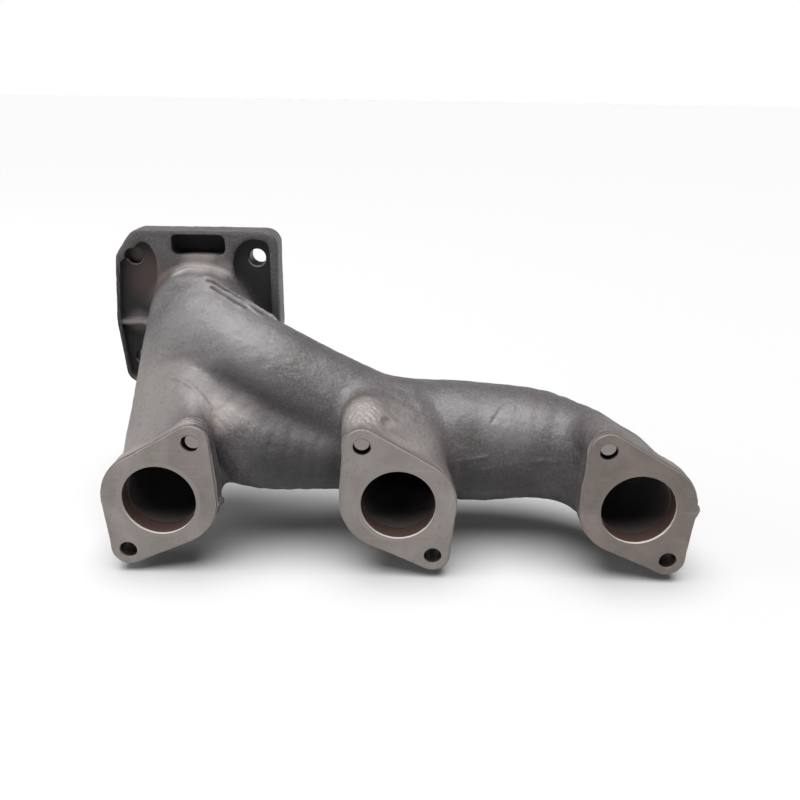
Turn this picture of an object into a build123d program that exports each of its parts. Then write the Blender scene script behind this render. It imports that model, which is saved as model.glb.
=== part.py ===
from build123d import *

import math
import os

# Frame: X runs along the row of ports, +Y points away from the cylinder head, +Z is up.
# The origin is the centre of the middle port, on the face that meets the head.

# ---- driving dimensions, in millimetres ------------------------------------------------------

PORT_PITCH = 118.0
PORT_BORE_RADIUS = 18.5
PORT_BORE_DEPTH = 10.0
PORT_NECK_RADIUS = 25.0

# The cast passage starts narrower than the machined bore, which leaves a small shoulder where the bore ends.
PASSAGE_LAP = 3.0
PASSAGE_START_RADIUS = 16.5

# Each port flange is a lozenge: two body circles side by side and one circle round each ear.
FLANGE_BODY_RADIUS = 25.0
FLANGE_BODY_SPREAD = 4.0
UPPER_EAR_RADIUS = 9.2
LOWER_EAR_RADIUS = 8.2
STUD_CIRCLE_DIAMETER = 69.0
STUD_CIRCLE_RISE = 1.5
STUD_ANGLE = 59.0
STUD_HOLE_RADIUS = 4.5
FLANGE_BACK = 10.7
LOWER_BOSS_BACK = 21.0

# The ears of port 1 lean the other way from those of ports 2 and 3.
PORT_LEANS = {1: 1, 2: -1, 3: -1}
PORT_CENTRES = {1: -PORT_PITCH, 2: 0.0, 3: PORT_PITCH}

# A layered gasket: two facing sheets over a core, gripped round the opening by a folded eyelet.
FACING_THICKNESS = 0.35
CORE_THICKNESS = 0.8
GASKET_THICKNESS = CORE_THICKNESS + 2 * FACING_THICKNESS
EYELET_WALL = 0.35
EYELET_FLANGE = 2.2
GASKET_INSET = 0.6

TURBO_CENTRE_X = -115.0
TURBO_CENTRE_Z = 74.0
TURBO_WIDTH = 92.0
TURBO_HEIGHT = 88.0
TURBO_BACK = 88.0
TURBO_FACE = 106.0
TURBO_CORNER_RADIUS = 8.0
TURBO_LEFT_CORNER_CUT = 13.0
TURBO_LOWER_TAPER = 4.0
TURBO_HOLE_SPACING_X = 68.0
TURBO_HOLE_SPACING_Z = 59.0
TURBO_HOLE_RADIUS = 5.3
TURBO_OPENING_WIDTH = 46.0
TURBO_OPENING_HEIGHT = 36.0
TURBO_OPENING_RADIUS = 14.0

# Nut pockets, the scoop above the neck and the ribs on the back of the turbocharger flange.
POCKET_RADIUS = 12.5
POCKET_DROP = 2.0
POCKET_DEPTH = 8.0
RIB_RISE = -8.0
RIB_HALF_WIDTH = 2.0
RIM_WIDTH = 2.5
SCOOP_SHIFT = 2.5
SCOOP_WIDTH = 29.0
SCOOP_DROP = 11.0
SCOOP_DEPTH = 11.0

NECK_WIDTH = 56.0
NECK_HEIGHT = 46.0
NECK_RADIUS = 20.0
NECK_THROAT_RADIUS = 22.0
NECK_START = 76.0
OPENING_START = 84.0

WALL = 5.5

# Pipe stations along each centreline: x, y, z and outside radius.
RUNNER_1 = (
    (-118.0, GASKET_THICKNESS, 0.0, PORT_NECK_RADIUS),
    (-118.0, 25.0, 2.0, 26.5),
    (-119.4, 46.0, 12.8, 27.0),
    (-119.5, 60.0, 31.5, 25.5),
    (-119.8, 76.0, 52.8, 24.5),
    (-117.0, 92.0, 70.5, 23.0),
)
TRUNK = (
    (118.0, GASKET_THICKNESS, 0.0, PORT_NECK_RADIUS),
    (117.0, 22.0, 2.0, 27.0),
    (99.3, 42.0, 7.7, 26.2),
    (73.1, 52.0, 12.0, 29.4),
    (34.5, 54.0, 12.5, 32.4),
    (-9.9, 55.0, 15.0, 32.0),
    (-43.0, 56.0, 29.7, 31.0),
    (-68.0, 58.0, 43.1, 30.1),
    (-88.0, 64.0, 53.5, 29.0),
    (-104.0, 76.0, 64.0, 27.0),
    (-113.0, 94.0, 71.0, 23.0),
)
PORT_2_NECK = (
    (0.0, GASKET_THICKNESS, 0.0, PORT_NECK_RADIUS),
    (0.0, 20.0, 2.0, 26.0),
    (-2.0, 50.0, 14.0, 29.0),
)
LOWER_LOG = (
    (10.0, 42.0, 12.0, 19.0),
    (-30.0, 40.0, 9.6, 18.5),
    (-43.0, 39.5, 12.5, 21.0),
    (-73.0, 41.0, 18.2, 26.5),
    (-92.0, 47.0, 23.0, 28.5),
    (-112.0, 57.0, 32.0, 24.0),
)

PARTS_FOLDER = "parts"


# ---- helpers ---------------------------------------------------------------------------------


def plane_at(y):
    """A sketch plane at this Y whose own x and y axes are the row's X and Z."""
    return Plane(origin=(0, y, 0), x_dir=(1, 0, 0), z_dir=(0, -1, 0))


def slab(sketch, y_front, y_back):
    """Extrude an outline drawn in X and Z from one Y to the other."""
    return extrude(plane_at(y_back) * sketch, amount=y_back - y_front)


def lofted_pipe(stations, from_port=True):
    """A solid with round sections through the stations; from a port it sets off along +Y."""
    centres = [Vector(*station[:3]) for station in stations]
    side = Vector(0, 0, 1)
    sections = []
    for index, station in enumerate(stations):
        before = centres[max(index - 1, 0)]
        after = centres[min(index + 1, len(centres) - 1)]
        tangent = (after - before).normalized()
        if index == 0 and from_port:
            tangent = Vector(0, 1, 0)
        side = (side - tangent * side.dot(tangent)).normalized()
        plane = Plane(origin=centres[index], x_dir=side, z_dir=tangent)
        sections.append(plane * Circle(station[3]))
    return loft(sections)


def inner_stations(stations):
    """The same centreline with a wall's thickness taken off each radius."""
    return [(x, y, z, radius - WALL) for x, y, z, radius in stations]


def passage_from_port(stations):
    """The gas passage of a pipe that carries on from a straight port bore."""
    port_x = stations[0][0]
    start = (port_x, PORT_BORE_DEPTH - PASSAGE_LAP, 0.0, PASSAGE_START_RADIUS)
    return lofted_pipe([start] + inner_stations(stations[1:]))


def port_places():
    return [(number, PORT_CENTRES[number], PORT_LEANS[number]) for number in (1, 2, 3)]


def stud_offsets(lean):
    """Upper and lower stud hole centres of a port flange, from the port centre."""
    run = STUD_CIRCLE_DIAMETER / 2 * math.cos(math.radians(STUD_ANGLE))
    rise = STUD_CIRCLE_DIAMETER / 2 * math.sin(math.radians(STUD_ANGLE))
    upper = (lean * run, STUD_CIRCLE_RISE + rise)
    lower = (-lean * run, STUD_CIRCLE_RISE - rise)
    return upper, lower


def port_outline(centre_x, lean, inset=0.0):
    """The lozenge outline of one port flange."""
    upper, lower = stud_offsets(lean)
    circles = (
        (FLANGE_BODY_SPREAD, 0.0, FLANGE_BODY_RADIUS),
        (-FLANGE_BODY_SPREAD, 0.0, FLANGE_BODY_RADIUS),
        (upper[0], upper[1], UPPER_EAR_RADIUS),
        (lower[0], lower[1], LOWER_EAR_RADIUS),
    )
    edges = []
    for x, z, radius in circles:
        edges += (Pos(centre_x + x, z) * Circle(radius - inset)).edges()
    return make_hull(edges)


def port_stud_holes(centre_x, lean):
    return Sketch() + [Pos(centre_x + x, z) * Circle(STUD_HOLE_RADIUS) for x, z in stud_offsets(lean)]


def turbo_outline(inset=0.0):
    """The flange that carries the turbocharger, cut at its upper left and narrower below its rib."""
    left = TURBO_CENTRE_X - TURBO_WIDTH / 2 + inset
    right = TURBO_CENTRE_X + TURBO_WIDTH / 2 - inset
    bottom = TURBO_CENTRE_Z - TURBO_HEIGHT / 2 + inset
    top = TURBO_CENTRE_Z + TURBO_HEIGHT / 2 - inset
    rib_z = TURBO_CENTRE_Z + RIB_RISE
    points = (
        (left + TURBO_LOWER_TAPER, bottom),
        (right - TURBO_LOWER_TAPER, bottom),
        (right, rib_z),
        (right, top),
        (left + TURBO_LEFT_CORNER_CUT, top),
        (left, top - TURBO_LEFT_CORNER_CUT),
        (left, rib_z),
    )
    outline = make_face(Polyline(*points, close=True))
    return fillet(outline.vertices(), TURBO_CORNER_RADIUS)


def turbo_hole_centres():
    return [
        (TURBO_CENTRE_X + i * TURBO_HOLE_SPACING_X / 2, TURBO_CENTRE_Z + k * TURBO_HOLE_SPACING_Z / 2)
        for i in (-1, 1)
        for k in (-1, 1)
    ]


def turbo_holes():
    return Sketch() + [Pos(x, z) * Circle(TURBO_HOLE_RADIUS) for x, z in turbo_hole_centres()]


def turbo_opening(grow=0.0):
    return Pos(TURBO_CENTRE_X, TURBO_CENTRE_Z) * RectangleRounded(
        TURBO_OPENING_WIDTH + 2 * grow,
        TURBO_OPENING_HEIGHT + 2 * grow,
        TURBO_OPENING_RADIUS + grow,
    )


# ---- the casting -----------------------------------------------------------------------------


def pipe_bodies():
    """The outsides of the pipes, with the neck that carries them into the turbocharger flange."""
    bodies = [lofted_pipe(stations) for stations in (RUNNER_1, TRUNK, PORT_2_NECK)]
    bodies.append(lofted_pipe(LOWER_LOG, from_port=False))
    log_end = LOWER_LOG[-1]
    bodies.append(Pos(*log_end[:3]) * Sphere(log_end[3]))
    bodies.append(neck_body())
    return bodies


def neck_body():
    """The neck widens from a round throat to the rounded oblong where it meets the flange."""
    centre = Pos(TURBO_CENTRE_X, TURBO_CENTRE_Z)
    throat = plane_at(NECK_START) * centre * Circle(NECK_THROAT_RADIUS)
    mouth_outline = centre * RectangleRounded(NECK_WIDTH, NECK_HEIGHT, NECK_RADIUS)
    mouth = plane_at(TURBO_BACK) * mouth_outline
    return loft([throat, mouth]) + slab(mouth_outline, TURBO_BACK, TURBO_BACK + POCKET_DEPTH)


def gas_passages():
    """Everything the exhaust gas flows through, as solids to take away."""
    passages = [passage_from_port(stations) for stations in (RUNNER_1, TRUNK, PORT_2_NECK)]
    for _, centre_x, _ in port_places():
        bore = Pos(centre_x, 0) * Circle(PORT_BORE_RADIUS)
        passages.append(slab(bore, 0, PORT_BORE_DEPTH))
    log_passage = inner_stations(LOWER_LOG)
    log_end = log_passage[-1]
    passages.append(lofted_pipe(log_passage, from_port=False))
    passages.append(Pos(*log_end[:3]) * Sphere(log_end[3]))
    passages.append(slab(turbo_opening(), OPENING_START, TURBO_FACE))
    return passages


def port_flange_bodies():
    bodies = []
    for _, centre_x, lean in port_places():
        bodies.append(slab(port_outline(centre_x, lean), GASKET_THICKNESS, FLANGE_BACK))
        lower = stud_offsets(lean)[1]
        boss = Pos(centre_x + lower[0], lower[1]) * Circle(LOWER_EAR_RADIUS)
        bodies.append(slab(boss, GASKET_THICKNESS, LOWER_BOSS_BACK))
    return bodies


def nut_pockets():
    """Recesses in the back of the turbocharger flange, one round each hole, open to the side."""
    pockets = []
    rib_z = TURBO_CENTRE_Z + RIB_RISE
    for x, z in turbo_hole_centres():
        outward = 1 if x > TURBO_CENTRE_X else -1
        above = z > rib_z
        edge_x = TURBO_CENTRE_X + outward * (TURBO_WIDTH / 2 - (RIM_WIDTH if outward > 0 else -1))
        inner_x = x - outward * POCKET_RADIUS
        pocket_z = z - POCKET_DROP if above else z + POCKET_DROP
        near_rib = rib_z + (RIB_HALF_WIDTH if above else -RIB_HALF_WIDTH)
        channel = Pos((edge_x + inner_x) / 2, (pocket_z + near_rib) / 2) * Rectangle(
            abs(edge_x - inner_x), abs(pocket_z - near_rib)
        )
        round_end = Pos(x, pocket_z) * Circle(POCKET_RADIUS)
        pockets.append(slab(channel + round_end, TURBO_BACK, TURBO_BACK + POCKET_DEPTH))
    return pockets


def top_scoop():
    top = TURBO_CENTRE_Z + TURBO_HEIGHT / 2
    scoop = Pos(TURBO_CENTRE_X + SCOOP_SHIFT, top) * Ellipse(SCOOP_WIDTH / 2, SCOOP_DROP)
    return slab(scoop, TURBO_BACK, TURBO_BACK + SCOOP_DEPTH)


def make_casting():
    """The hollow one-piece casting: pipes, neck, three port flanges and the turbocharger flange."""
    turbo_face = TURBO_FACE - GASKET_THICKNESS
    turbo_plate = slab(turbo_outline(), TURBO_BACK, turbo_face) - nut_pockets() - top_scoop()
    casting = Part() + pipe_bodies() + port_flange_bodies() + turbo_plate

    beyond = 60.0
    casting -= slab(Rectangle(600, 400), turbo_face, turbo_face + beyond)
    casting -= slab(Rectangle(600, 400), GASKET_THICKNESS - beyond, GASKET_THICKNESS)

    for passage in gas_passages():
        casting -= passage
    for _, centre_x, lean in port_places():
        upper, lower = stud_offsets(lean)
        upper_hole = Pos(centre_x + upper[0], upper[1]) * Circle(STUD_HOLE_RADIUS)
        lower_hole = Pos(centre_x + lower[0], lower[1]) * Circle(STUD_HOLE_RADIUS)
        casting -= slab(upper_hole, 0, FLANGE_BACK)
        casting -= slab(lower_hole, 0, LOWER_BOSS_BACK)
    casting -= slab(turbo_holes(), TURBO_BACK, TURBO_FACE)
    return casting


# ---- the gaskets -----------------------------------------------------------------------------


def layered_gasket(outline, opening_at, y_front):
    """Split a gasket into front sheet, core, rear sheet and the eyelet round its opening.

    opening_at(grow) gives the opening made larger all round by grow.
    """
    y_core = y_front + FACING_THICKNESS
    y_rear = y_core + CORE_THICKNESS
    y_back = y_front + GASKET_THICKNESS
    eyelet_inside = opening_at(0.0)
    eyelet_outside = opening_at(EYELET_WALL)
    flange_edge = opening_at(EYELET_FLANGE)

    eyelet = slab(flange_edge - eyelet_inside, y_front, y_core)
    eyelet += slab(eyelet_outside - eyelet_inside, y_core, y_rear)
    eyelet += slab(flange_edge - eyelet_inside, y_rear, y_back)
    return {
        "front_sheet": slab(outline - flange_edge, y_front, y_core),
        "core_sheet": slab(outline - eyelet_outside, y_core, y_rear),
        "rear_sheet": slab(outline - flange_edge, y_rear, y_back),
        "eyelet": eyelet,
    }


def make_port_gasket(centre_x, lean):
    outline = port_outline(centre_x, lean, GASKET_INSET)
    outline -= port_stud_holes(centre_x, lean)

    def opening_at(grow):
        return Pos(centre_x, 0) * Circle(PORT_BORE_RADIUS + grow)

    return layered_gasket(outline, opening_at, 0.0)


def make_turbo_gasket():
    outline = turbo_outline(GASKET_INSET) - turbo_holes()
    return layered_gasket(outline, turbo_opening, TURBO_FACE - GASKET_THICKNESS)


# ---- the assembly ----------------------------------------------------------------------------


def build_all():
    nodes = {"manifold_casting": make_casting()}
    for number, centre_x, lean in port_places():
        for piece, shape in make_port_gasket(centre_x, lean).items():
            nodes[f"port_{number}_gasket_{piece}"] = shape
    for piece, shape in make_turbo_gasket().items():
        nodes[f"turbo_gasket_{piece}"] = shape
    return nodes


os.makedirs(PARTS_FOLDER, exist_ok=True)
for node_name, node_shape in build_all().items():
    node_shape.label = node_name
    export_step(node_shape, os.path.join(PARTS_FOLDER, node_name + ".step"))
    print(node_name, round(node_shape.volume), len(node_shape.solids()))
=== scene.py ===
import math

import bmesh
import bpy
import numpy as np
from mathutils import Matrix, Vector


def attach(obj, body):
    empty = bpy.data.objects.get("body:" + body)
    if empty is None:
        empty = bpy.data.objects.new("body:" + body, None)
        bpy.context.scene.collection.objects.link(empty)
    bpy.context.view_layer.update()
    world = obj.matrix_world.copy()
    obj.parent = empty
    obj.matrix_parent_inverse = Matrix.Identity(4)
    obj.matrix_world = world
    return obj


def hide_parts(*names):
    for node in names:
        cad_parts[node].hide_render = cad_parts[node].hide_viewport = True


# The looks of an exhaust manifold: one rough iron casting and its laminated gaskets.
# X runs along the row of ports, +Y away from the cylinder head, +Z up. Shapes are worked out in
# millimetres and scaled to metres when a mesh is made.

MM = 0.001

# ---- driving dimensions, in millimetres ------------------------------------------------------
# The ports, the flange outlines, the lower stud holes and the gaskets repeat the CAD part's. The upper stud
# holes, the turbocharger flange and the pipes differ from it by up to a few millimetres.

PORT_PITCH = 118.0
PORT_BORE_RADIUS = 18.5
PORT_BORE_DEPTH = 10.0
PORT_NECK_RADIUS = 25.0
PORT_LEANS = {1: 1, 2: -1, 3: -1}
PORT_CENTRES = {1: -PORT_PITCH, 2: 0.0, 3: PORT_PITCH}

FLANGE_BODY_RADIUS = 25.0
FLANGE_BODY_SPREAD = 4.0
UPPER_EAR_RADIUS = 9.2
LOWER_EAR_RADIUS = 8.2
UPPER_STUD = (17.8, 31.0)
LOWER_STUD = (-17.8, -28.0)
STUD_HOLE_RADIUS = 4.5
FLANGE_BACK = 10.7
LOWER_BOSS_BACK = 21.0
UPPER_HOLE_FLOOR = 9.0

# The upper holes show only as dark crescents round a tongue of metal. For each port, the side that its
# crescent is open to, in degrees.
CRESCENT_FACING = {1: 222.0, 2: 270.0, 3: 285.0}
CRESCENT_SWEEP = 82.0
CRESCENT_SHIFT = 2.1
CRESCENT_TONGUE = 3.7
CRESCENT_INNER_SWEEP = 1.15
CRESCENT_POINTS = 24
# The tongue reaches through the gasket's hole, almost flush with it.
TONGUE_FRONT = 0.12
TONGUE_CLEARANCE = 0.1

GASKET_THICKNESS = 1.5
# How far the flanges reach past their finished faces before they are milled off.
OVERSIZE = 4.0
# Cutters start and end clear of the casting, at these depths.
IN_FRONT = -5
BEHIND = 120

# The dark and the light tone of each gasket's sheets.
GASKET_TONES = {
    "port_1": ((0.172, 0.160, 0.140), (0.245, 0.214, 0.206)),
    "port_2": ((0.185, 0.160, 0.150), (0.240, 0.218, 0.206)),
    "port_3": ((0.120, 0.100, 0.090), (0.185, 0.152, 0.136)),
    "turbo": ((0.185, 0.165, 0.155), (0.240, 0.220, 0.210)),
}

TURBO_CENTRE = (-115.0, 74.0)
TURBO_BACK = 88.0
TURBO_FACE = 106.0
TURBO_CORNER_RADIUS = 8.0
TURBO_CORNERS = (
    (-158.5, 30.0),
    (-73.0, 30.0),
    (-69.0, 66.0),
    (-69.0, 118.0),
    (-148.5, 118.0),
    (-158.6, 104.0),
    (-161.6, 66.0),
)
TURBO_HOLE_SPACING = (68.0, 59.0)
# Narrower than the CAD part's holes, which are 5.3.
TURBO_HOLE_RADIUS = 4.7
TURBO_OPENING = (46.0, 36.0, 14.0)
OPENING_START = 84.0
NECK_CENTRE = (-112.5, 74.0)
NECK = (47.5, 45.0, 21.0)
POCKET_RADIUS = 12.5
POCKET_FLOOR = 92.0
CHAMFER_RADIUS = 5.8
CHAMFER_END = POCKET_FLOOR + 0.8
# How much metal stays between the recesses and the right edge and the cut corner of the flange.
RIM = 4.5
THIN_RIM = 2.4
# The upper left hole is closed inside by a thin web between these two depths.
HOLE_WEB = (97.0, 99.0)
RIB_Z = 66.0
RIB_THICKNESS = 2.6
SCOOP_CENTRE = (-112.5, 110.4)
SCOOP_SIZE = (29.5, 10.8, 3.2)
SCOOP_FLOOR = 101.0

# Behind each upper ear a shoulder slopes back up into the pipe, and a second one runs beside it over the
# port. Stations x, y, z and radius, from the port centre, with x towards the side the ear leans to.
SHOULDERS = {
    1: (
        ((17.8, 4.0, 31.0, 7.2), (14.0, 24.0, 35.0, 9.0), (8.0, 42.0, 42.0, 12.0)),
        ((7.0, 4.0, 19.0, 10.0), (6.0, 26.0, 24.0, 13.0), (3.0, 42.0, 34.0, 15.0)),
    ),
    2: (
        ((17.8, 3.0, 31.0, 8.9), (16.5, 22.0, 34.0, 12.5), (12.0, 46.0, 31.0, 17.0)),
        ((7.0, 3.0, 20.5, 11.5), (5.0, 22.0, 23.5, 15.0), (2.0, 46.0, 26.0, 20.0)),
        ((-6.0, 3.0, 12.0, 15.0), (-7.0, 22.0, 15.0, 17.0), (-6.0, 46.0, 20.0, 20.0)),
    ),
    3: (
        ((17.8, 3.0, 31.0, 8.6), (18.0, 20.0, 29.0, 11.0), (20.0, 40.0, 18.0, 17.0)),
        ((7.0, 3.0, 20.0, 11.5), (6.0, 20.0, 15.5, 13.5), (4.0, 40.0, 7.0, 17.0)),
    ),
}
SHOULDER_FILLET = 7.0

# Two folds over the neck, each with a groove below it: stations x, y, z.
UPPER_FOLD = ((-106, 74.5, 96), (-97, 72.5, 91.5), (-87, 70, 85.5), (-75.5, 69, 79), (-64, 62.5, 74))
UPPER_GROOVE = ((-104.5, 73, 94.5), (-95.5, 71, 90), (-85.5, 67.5, 84.5), (-74.5, 64, 78.5))
LOWER_FOLD = ((-103, 72, 93), (-94.5, 69, 88.5), (-84, 65, 83.5), (-74, 59.5, 78.5))
LOWER_GROOVE = ((-102, 70, 91.5), (-92.5, 66, 87), (-83, 62, 82.5))

# Lines of flash and folds on the casting: stations x, y, z, then width and height.
SEAMS = (
    (UPPER_FOLD, 0.8, 2.0),
    (UPPER_GROOVE, 0.8, -1.5),
    (LOWER_FOLD, 0.8, 1.7),
    (LOWER_GROOVE, 0.8, -1.2),
    (((-100.5, 68.5, 90), (-91, 62.5, 86), (-82, 59, 81.5)), 0.9, 0.7),
    (((-106, 84, 98), (-117, 85, 98.5), (-123, 82, 96.5), (-126.5, 75, 93.5)), 1.0, 0.9),
    (((-68, 61, 76), (-45, 58, 66), (-20, 57, 52), (15, 55, 47), (55, 53, 43)), 1.1, 0.35),
    (((-127, 39, 46), (-119, 38.5, 49.5), (-110, 34, 49), (-101, 27.5, 45.5), (-93, 21.5, 40)), 1.1, 0.7),
    (((-122, 29, 33), (-112, 27.5, 38), (-104.5, 24, 38), (-96, 19, 34)), 0.9, 0.7),
    (((23, 18, 15.5), (28.5, 21, 14.5), (38.5, 22, 16), (48, 22, 18)), 0.9, 0.7),
    (((36, 22, 8.5), (51.5, 22, 12), (67, 23, 14.5), (84, 21.5, 15.5)), 1.2, 0.45),
    (((24, 18.5, 12), (27, 20, 9), (29, 21, 5)), 0.9, 0.5),
    (((46, 28.5, 32), (49.5, 32.5, 36), (54, 38, 39.5), (58.5, 41.5, 41)), 0.7, -0.7),
    (((-10, 27, 36), (-2, 22, 31), (8, 15, 27), (17, 10, 21)), 0.9, 0.5),
    (((32, 26, -4), (52, 23.5, 0), (70, 22.5, 1), (88, 19.5, -2)), 1.4, 0.4),
    (((89.5, 17.5, 13), (90.5, 22, 22), (94, 26, 28), (98, 30, 31)), 0.9, 0.8),
)

# Dents in the casting: place, radius and depth.
DENTS = (
    ((-6.0, 12.5, 38.5), 4.2, 1.8),
    ((92.5, 32.0, 32.0), 6.0, 0.7),
    ((-64.5, 15.5, 23.5), 3.0, 0.7),
    ((-54.5, 16.5, 21.5), 2.5, 0.7),
)

# Places that were ground by hand: centre, radius, direction of the marks and their height.
GROUND_PATCHES = (
    ((-21.0, 14.0, 42.5), 15.0, (0.35, -0.3, -0.9), 0.5),
    ((-12.0, 12.0, 41.0), 10.0, (0.75, -0.4, -0.5), 0.4),
    ((-90.0, 22.0, 36.0), 10.0, (0.6, -0.3, -0.7), 0.2),
    ((135.0, 12.0, 27.0), 14.0, (0.7, -0.2, -0.7), 0.2),
)

# Where the skin is painted lighter, partly as dust and partly as painted light where the lamps leave it too
# dark: centre and radius.
DUST_AND_PAINTED_LIGHT_PLACES = (
    ((-130.0, 34.0, 40.0), 38.0),
    ((-130.0, 20.0, 20.0), 34.0),
    ((-98.0, 26.0, 46.0), 16.0),
    ((-80.0, 24.0, 41.0), 11.0),
    ((-112.0, 88.0, 98.0), 13.0),
    ((-150.0, 88.0, 66.0), 9.0),
    ((8.0, 8.0, 24.0), 24.0),
    ((-6.0, 18.0, 36.0), 17.0),
    ((112.0, 12.0, 26.0), 24.0),
)

# Painted highlights where the neck meets the turbocharger flange, in the tone of ground metal: centre and
# radius.
PAINTED_HIGHLIGHT_SPOTS = (((-112.0, 88.0, 102.0), 11.0), ((-123.0, 82.0, 97.0), 6.0), ((-99.0, 84.0, 99.0), 7.0))
# Painted highlights along the edges of the port flanges and the crests of the folds: lines of x, y, z, then
# reach and strength.
PAINTED_HIGHLIGHT_LINES = (
    (((-144, 4, 12), (-131, 4, 27), (-117, 4, 38), (-104, 4, 41)), 6.5, 0.9),
    (((-26, 4, 10), (-30, 4, -6), (-20, 4, -20), (0, 4, -32)), 4.0, 0.6),
    (((90, 4, -10), (98, 4, -20), (112, 4, -28), (130, 4, -37)), 4.0, 0.8),
    (UPPER_FOLD[:4], 1.8, 0.5),
    (LOWER_FOLD, 1.5, 0.5),
    (((-32, 6, 22), (-28, 6, 38), (-18, 5, 42), (-6, 5, 34), (10, 5, 24), (22, 5, 14)), 5.0, 0.5),
)
# Painted highlights: where the skin is painted lighter to stand for bright light falling there, centre and
# radius.
PAINTED_HIGHLIGHT_PLACES = (((-104.0, 52.0, 80.0), 26.0), ((-84.0, 42.0, 72.0), 32.0), ((56.0, 27.0, 33.0), 18.0))

# Painted shade in the creases, grooves, recesses and undersides where shade falls: lines of x, y, z, then
# reach and strength. The first one follows the fold under the trunk.
PAINTED_SHADE_LINES = (
    (((-88, 35, 53), (-76, 31, 46), (-60, 27, 37), (-42, 24, 30)), 12.5, 0.6),
    (((-60, 14, 16), (-36, 16, 14), (-20, 18, 12)), 20.0, 0.7),
    (((26, 24, 8), (46, 22, 5), (64, 23, 2)), 13.0, 0.5),
    (((72, 24, 14), (82, 22, 12), (90, 18, 8)), 13.0, 0.4),
    (((9, 39, 44), (16, 31, 37), (22, 21, 26), (25, 17, 14), (26, 16, 4)), 5.0, 0.35),
    (((34, 28, 30), (44, 26, 26), (56, 26, 22)), 9.0, 0.25),
    (((-7, 13, 38.5), (-5, 12, 37.5)), 4.0, 0.5),
    (((-160, 88, 96), (-161, 88, 66), (-158, 88, 33)), 3.5, 0.8),
    (UPPER_GROOVE, 1.7, 0.9),
    (LOWER_GROOVE, 1.5, 0.9),
)
# Painted shade in the recesses at the back of the turbocharger flange, from this depth on.
PAINTED_RECESS_SHADE_START = 89.0
RUST_PLACE = ((-138.0, 91.0, 91.0), 19.0)

STEP_PITCH = 2.3
STEP_DEPTH = 0.5

# Scraps of flash left on the rims of the outer flanges: x, y, z and radius.
FLASH_NUBS = ((-88.6, 5.0, -2.0, 2.0), (146.6, 4.5, -0.5, 2.6), (147.2, 5.0, -3.5, 1.6))

WALL = 5.5
PASSAGE_START = (7.0, 16.5)
# The passages are painted lighter near the ports, for the light that reaches in there, and are sooty
# further in.
MOUTH_PAINTED_LIGHT_END = 30.0

# Pipe stations along each centreline: x, y, z and outside radius.
RUNNER_1 = (
    (-118.0, 1.5, 0.0, PORT_NECK_RADIUS),
    (-118.0, 25.0, 2.0, 26.5),
    (-119.4, 46.0, 12.8, 27.0),
    (-119.5, 60.0, 31.5, 25.5),
    (-119.2, 76.0, 52.8, 24.2),
    (-116.2, 92.0, 70.5, 22.7),
)
TRUNK = (
    (118.0, 1.5, 0.0, PORT_NECK_RADIUS),
    (116.6, 22.0, -0.6, 25.0),
    (99.3, 42.0, 6.6, 25.4),
    (73.1, 52.0, 12.0, 29.4),
    (34.5, 54.0, 12.5, 32.4),
    (-9.9, 55.5, 16.4, 30.5),
    (-43.0, 56.9, 32.0, 28.5),
    (-68.0, 58.9, 45.4, 27.6),
    (-88.0, 64.5, 54.9, 27.5),
    (-104.0, 76.0, 64.0, 27.0),
    (-113.0, 94.0, 71.0, 23.0),
)
PORT_2_NECK = (
    (0.0, 1.5, 0.0, PORT_NECK_RADIUS),
    (0.0, 20.0, 2.0, 26.0),
    (-2.0, 50.0, 14.0, 29.0),
)
LOWER_LOG = (
    (10.0, 42.0, 12.0, 19.0),
    (-30.0, 38.0, 8.4, 17.0),
    (-43.0, 37.0, 9.8, 18.3),
    (-72.0, 38.0, 14.9, 23.3),
    (-92.0, 46.0, 22.5, 27.5),
    (-112.0, 57.0, 32.0, 24.0),
)

# How far the fillet reaches where one body runs into the next.
RUNNER_FILLET = 14.0
NECK_2_FILLET = 8.0
LOG_FILLET = 5.0
TURBO_FILLET = 6.0
FLANGE_FILLET = 3.5

CAST_STEP = 1.3
PASSAGE_STEP = 3.0
SHARP_ANGLE = 40.0

# ---- camera and light ------------------------------------------------------------------------

CAMERA_PLACE = (3.36, -349.99, 187.60)
CAMERA_TURN = (69.321, -0.865, 0.856)
CAMERA_LENS = 36.085
SENSOR_WIDTH = 36.0
FLOOR_Z = -41.0
FLOOR_REACH = 60000.0
# The backdrop is white up to just above the horizon, and the sky above it is darker.
HORIZON_BAND = (0.10, 0.22)
SKY_LEVEL = 0.18
FLOOR_TONE = 0.42


# ---- distance fields -------------------------------------------------------------------------


def smooth_union(a, b, reach):
    """The union of two distance fields with a fillet where they meet."""
    mix = np.clip(0.5 + 0.5 * (b - a) / reach, 0, 1)
    return b + (a - b) * mix - reach * mix * (1 - mix)


def smooth_cut(a, b, reach):
    """Distance field a with b taken away, its edges rounded."""
    return -smooth_union(-a, b, reach)


def spline(stations, steps=4):
    """Points on the smooth curve through the stations."""
    knots = np.array(stations, float)
    knots = np.vstack([2 * knots[0] - knots[1], knots, 2 * knots[-1] - knots[-2]])
    points = []
    for before, start, end, after in zip(knots[:-3], knots[1:-2], knots[2:-1], knots[3:]):
        for share in np.arange(steps) / steps:
            linear = (end - before) * share
            square = (2 * before - 5 * start + 4 * end - after) * share**2
            cube = (3 * start - before - 3 * end + after) * share**3
            points.append(0.5 * (2 * start + linear + square + cube))
    points.append(knots[-2])
    return np.array(points, np.float32)


def pipe_distance(points, stations):
    """Distance to a pipe with round sections through the stations."""
    nearest = np.full(len(points), 1e6, np.float32)
    nodes = spline(stations)
    for start, end in zip(nodes[:-1], nodes[1:]):
        line = end[:3] - start[:3]
        away = points - start[:3]
        share = np.clip(away @ line / (line @ line), 0, 1)
        away -= share[:, None] * line
        gap = np.sqrt(np.einsum("ij,ij->i", away, away))
        nearest = np.minimum(nearest, gap - start[3] - share * (end[3] - start[3]))
    return nearest


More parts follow.
